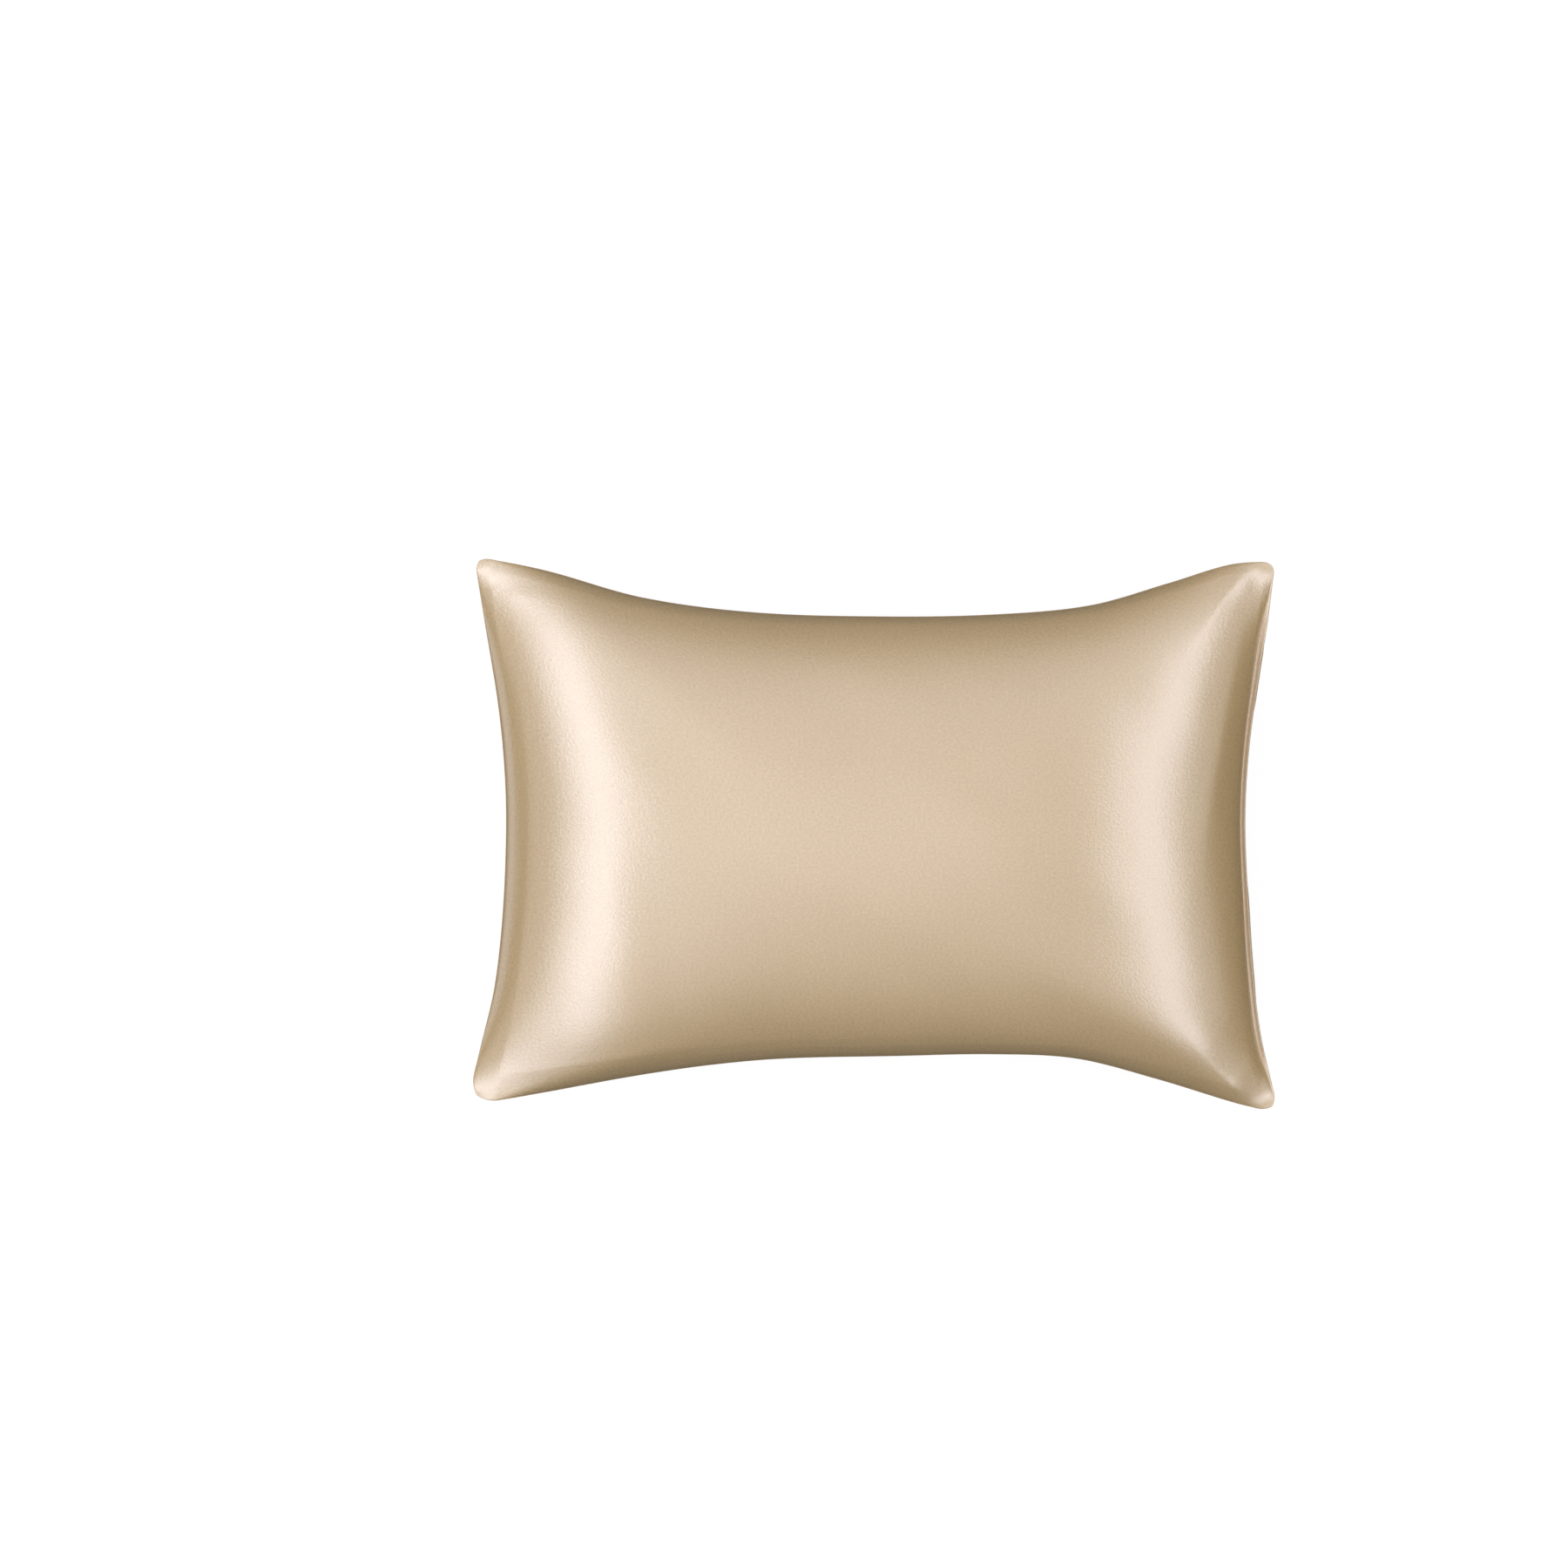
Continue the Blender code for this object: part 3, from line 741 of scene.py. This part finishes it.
def stitch_tree(thread):
    """Geometry Nodes that lay a capsule of thread at each even step along a line."""
    tree = bpy.data.node_groups.new("hem_stitching", "GeometryNodeTree")
    tree.interface.new_socket("Line", in_out="INPUT", socket_type="NodeSocketGeometry")
    sizes = {"Pitch": STITCH_PITCH, "Stitch length": STITCH_LENGTH, "Thread radius": THREAD_RADIUS}
    for label, value in sizes.items():
        tree.interface.new_socket(label, in_out="INPUT", socket_type="NodeSocketFloat").default_value = value
    tree.interface.new_socket("Stitches", in_out="OUTPUT", socket_type="NodeSocketGeometry")
    nodes, links = tree.nodes, tree.links
    given, made = nodes.new("NodeGroupInput"), nodes.new("NodeGroupOutput")
    to_curve = nodes.new("GeometryNodeMeshToCurve")
    links.new(given.outputs["Line"], to_curve.inputs[0])
    resample = nodes.new("GeometryNodeResampleCurve")
    resample.mode = "LENGTH"
    links.new(to_curve.outputs[0], resample.inputs["Curve"])
    links.new(given.outputs["Pitch"], resample.inputs["Length"])
    tangent = nodes.new("GeometryNodeInputTangent")
    turn = nodes.new("FunctionNodeAlignEulerToVector")
    turn.axis = "Z"
    links.new(tangent.outputs[0], turn.inputs["Vector"])
    capsule = nodes.new("GeometryNodeMeshUVSphere")
    capsule.inputs["Segments"].default_value = 8
    capsule.inputs["Rings"].default_value = 6
    links.new(given.outputs["Thread radius"], capsule.inputs["Radius"])
    ratio = nodes.new("ShaderNodeMath")
    ratio.operation = "DIVIDE"
    links.new(given.outputs["Stitch length"], ratio.inputs[0])
    twice = nodes.new("ShaderNodeMath")
    twice.operation = "MULTIPLY"
    twice.inputs[1].default_value = 2.0
    links.new(given.outputs["Thread radius"], twice.inputs[0])
    links.new(twice.outputs[0], ratio.inputs[1])
    uneven = nodes.new("FunctionNodeRandomValue")
    uneven.data_type = "FLOAT"
    uneven.inputs[2].default_value = STITCH_SHORTEST
    uneven.inputs[3].default_value = STITCH_LONGEST
    uneven.inputs["Seed"].default_value = STITCH_SEED
    longer = nodes.new("ShaderNodeMath")
    longer.operation = "MULTIPLY"
    links.new(ratio.outputs[0], longer.inputs[0])
    links.new(uneven.outputs[1], longer.inputs[1])
    scale = nodes.new("ShaderNodeCombineXYZ")
    scale.inputs["X"].default_value = scale.inputs["Y"].default_value = 1.0
    links.new(longer.outputs[0], scale.inputs["Z"])
    place = nodes.new("GeometryNodeInstanceOnPoints")
    links.new(resample.outputs[0], place.inputs["Points"])
    links.new(capsule.outputs[0], place.inputs["Instance"])
    links.new(turn.outputs[0], place.inputs["Rotation"])
    links.new(scale.outputs[0], place.inputs["Scale"])
    realize = nodes.new("GeometryNodeRealizeInstances")
    links.new(place.outputs[0], realize.inputs[0])
    paint = nodes.new("GeometryNodeSetMaterial")
    paint.inputs["Material"].default_value = thread
    links.new(realize.outputs[0], paint.inputs["Geometry"])
    links.new(paint.outputs[0], made.inputs["Stitches"])
    return tree


def thread_material():
    """Spun polyester thread, a shade darker than the satin, with the fine ribs of its twist."""
    material = bpy.data.materials.new("hem_thread")
    material.use_nodes = True
    nodes, links = material.node_tree.nodes, material.node_tree.links
    shader = nodes["Principled BSDF"]
    place = nodes.new("ShaderNodeTexCoord")
    twist = nodes.new("ShaderNodeTexWave")
    twist.inputs["Scale"].default_value = TWIST_SCALE
    twist.inputs["Distortion"].default_value = TWIST_DISTORTION
    links.new(place.outputs["Object"], twist.inputs["Vector"])
    tone = nodes.new("ShaderNodeMix")
    tone.data_type = "RGBA"
    tone.inputs["A"].default_value = (*THREAD_DARK, 1)
    tone.inputs["B"].default_value = (*THREAD_LIGHT, 1)
    links.new(twist.outputs["Fac"], tone.inputs["Factor"])
    links.new(tone.outputs["Result"], shader.inputs["Base Color"])
    shader.inputs["Roughness"].default_value = THREAD_ROUGHNESS
    return material


def hem_stitches():
    """The whole row of stitches as one mesh."""
    line = bpy.data.meshes.new("hem_line")
    points = hem_line()
    line.from_pydata(points, [(k, k + 1) for k in range(len(points) - 1)], [])
    carrier = bpy.data.objects.new("hem_line", line)
    bpy.context.collection.objects.link(carrier)
    thread = thread_material()
    sewing = carrier.modifiers.new("stitches", "NODES")
    sewing.node_group = stitch_tree(thread)
    for socket in sewing.node_group.interface.items_tree:
        if socket.in_out == "INPUT" and socket.socket_type == "NodeSocketFloat":
            sewing[socket.identifier] = socket.default_value
    done = carrier.evaluated_get(bpy.context.evaluated_depsgraph_get())
    mesh = bpy.data.meshes.new_from_object(done)
    carrier.modifiers.remove(sewing)
    bpy.data.objects.remove(carrier)
    mesh.name = "hem_stitches"
    mesh.shade_smooth()
    stitches = bpy.data.objects.new("hem_stitches", mesh)
    bpy.context.collection.objects.link(stitches)
    return stitches


stitches = hem_stitches()
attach(stitches, "root")

# --------------------------------------------------------------------------------------------------
# The studio: a plain white floor, long soft lights on all four sides, broad ones overhead, and the camera
# straight above the case, a little to its left.
# --------------------------------------------------------------------------------------------------

# The frame's size and the case's middle in it, in pixels, and the scale at the height of the seams.
PHOTO_SIZE, CASE_CENTRE_X, CASE_CENTRE_Y = 1800, 1003.0, 957.25
METRES_PER_PIXEL, FACE_HEIGHT = 0.000805, 0.09
LENS, SENSOR = 85.0, 36.0


def make_camera():
    """The camera looks straight down, far enough away to give the photo's scale at the seams' height."""
    data = bpy.data.cameras.new("camera")
    data.lens, data.sensor_width = LENS, SENSOR
    camera = bpy.data.objects.new("camera", data)
    distance = PHOTO_SIZE * METRES_PER_PIXEL * LENS / SENSOR
    camera.location = (
        (PHOTO_SIZE / 2 - CASE_CENTRE_X) * METRES_PER_PIXEL,
        (CASE_CENTRE_Y - PHOTO_SIZE / 2) * METRES_PER_PIXEL,
        FACE_HEIGHT + distance,
    )
    bpy.context.collection.objects.link(camera)
    bpy.context.scene.camera = camera


make_camera()

FLOOR_HALF, FLOOR_DROP = 6.0, 0.0005
FLOOR_GLOW, FLOOR_COLOUR, FLOOR_ROUGHNESS = 0.90, (0.16, 0.16, 0.16), 0.9


def make_floor():
    """A plain pale floor, lit evenly, which neither shades nor lights the case."""
    material = bpy.data.materials.new("studio_floor")
    material.use_nodes = True
    shader = material.node_tree.nodes["Principled BSDF"]
    shader.inputs["Base Color"].default_value = (*FLOOR_COLOUR, 1)
    shader.inputs["Roughness"].default_value = FLOOR_ROUGHNESS
    shader.inputs["Specular IOR Level"].default_value = 0.0
    shader.inputs["Emission Color"].default_value = (1.0, 1.0, 1.0, 1)
    shader.inputs["Emission Strength"].default_value = FLOOR_GLOW
    mesh = bpy.data.meshes.new("studio_floor")
    corners = [(x * FLOOR_HALF, y * FLOOR_HALF, 0) for x, y in ((-1, -1), (1, -1), (1, 1), (-1, 1))]
    mesh.from_pydata(corners, [], [(0, 1, 2, 3)])
    mesh.materials.append(material)
    floor = bpy.data.objects.new("studio_floor", mesh)
    floor.location.z = -FLOOR_DROP
    floor.visible_glossy = floor.visible_diffuse = floor.visible_shadow = False
    bpy.context.collection.objects.link(floor)


make_floor()

# Columns: name, degrees off the vertical towards +X and towards +Y, width and length in metres, watts. The
# two beyond 90 degrees shine up from under the floor, and stand in for what a pale table throws back.
LIGHT_DISTANCE = 5.0
SOFT_LIGHTS = (
    ("key_left", -40.0, 0.0, 1.2, 9.0, 122.0),
    ("skirt_left", -54.0, 0.0, 1.4, 9.0, 61.0),
    ("low_left", -78.0, 0.0, 1.4, 9.0, 26.0),
    ("table_left", -115.0, 0.0, 1.0, 9.0, 21.0),
    ("under_left", -132.0, 0.0, 1.4, 9.0, 34.0),
    ("key_right", 41.0, 0.0, 1.6, 9.0, 101.5),
    ("skirt_right", 52.0, 0.0, 1.0, 9.0, 32.0),
    ("low_right", 70.0, 0.0, 1.0, 9.0, 20.0),
    ("overhead_left", -20.0, 0.0, 1.6, 8.0, 22.0),
    ("overhead", 0.0, 0.0, 3.0, 3.0, 40.0),
    ("far_high", 0.0, 40.0, 8.0, 1.2, 47.0),
    ("far_low", 0.0, 60.0, 8.0, 1.2, 31.0),
    ("near_high", 0.0, -40.0, 8.0, 1.2, 31.0),
    ("near_low", 0.0, -60.0, 8.0, 1.2, 5.0),
)


def make_lights():
    """Area lights at one distance from the case's middle, all turned towards it."""
    for name, to_right, to_far, width, length, watts in SOFT_LIGHTS:
        data = bpy.data.lights.new(name, "AREA")
        data.shape, data.size, data.size_y = "RECTANGLE", width, length
        data.energy = watts
        light = bpy.data.objects.new(name, data)
        across, along = math.radians(to_right), math.radians(to_far)
        light.location = (
            LIGHT_DISTANCE * math.sin(across) * math.cos(along),
            LIGHT_DISTANCE * math.sin(along),
            LIGHT_DISTANCE * math.cos(across) * math.cos(along) + FACE_HEIGHT,
        )
        light.rotation_euler = (-along, across, 0.0)
        bpy.context.collection.objects.link(light)


make_lights()

WORLD_STRENGTH = 0.01
world = bpy.data.worlds.new("studio")
world.use_nodes = True
background = world.node_tree.nodes["Background"]
background.inputs["Color"].default_value = (1.0, 1.0, 1.0, 1)
background.inputs["Strength"].default_value = WORLD_STRENGTH
bpy.context.scene.world = world
bpy.context.scene.view_settings.view_transform = "Standard"
